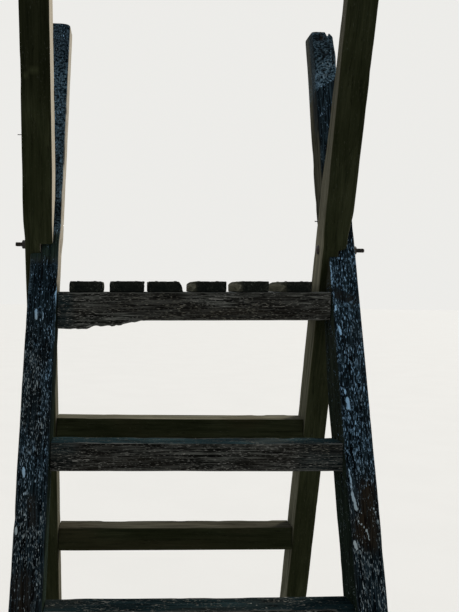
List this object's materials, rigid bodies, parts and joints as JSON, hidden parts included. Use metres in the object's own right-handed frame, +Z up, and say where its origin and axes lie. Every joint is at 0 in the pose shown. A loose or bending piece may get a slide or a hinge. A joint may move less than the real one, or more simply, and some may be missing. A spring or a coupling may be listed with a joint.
{
  "type": "wooden ladder stile",
  "caption": "A-shaped wooden ladder stile: crossed stringers bolted at half laps, level treads, a slatted deck and tall hand posts for stepping over a wall.",
  "frame": {"origin": "on the ground under the middle of the deck, midway between the feet", "axes": "+Z up, +X along the treads to the right as seen from the weathered ladder, +Y from the weathered ladder to the newer one"},
  "size_m": [0.8063, 1.0992, 1.946],
  "materials": {
    "weathered_timber": "rough, grey and lichened",
    "newer_timber": "sawn, brown",
    "deck_timber": "sawn, worn",
    "rusty_fixings": "dull, rusted"
  },
  "bodies": {
    "root": {"near_left_string": "weathered_timber", "near_right_string": "weathered_timber", "near_tread_1": "weathered_timber", "near_tread_2": "weathered_timber", "near_tread_3": "weathered_timber", "near_deck_bearer": "weathered_timber", "far_left_string": "newer_timber", "far_right_string": "newer_timber", "far_tread_1": "newer_timber", "far_tread_2": "newer_timber", "far_tread_3": "newer_timber", "far_deck_bearer": "newer_timber", "deck_board_1": "deck_timber", "deck_board_2": "deck_timber", "deck_board_3": "deck_timber", "deck_board_4": "deck_timber", "deck_board_5": "deck_timber", "deck_board_6": "deck_timber", "left_bolt": "rusty_fixings", "left_washer": "rusty_fixings", "left_nut": "rusty_fixings", "right_bolt": "rusty_fixings", "right_washer": "rusty_fixings", "right_nut": "rusty_fixings"}
  },
  "joints": []
}
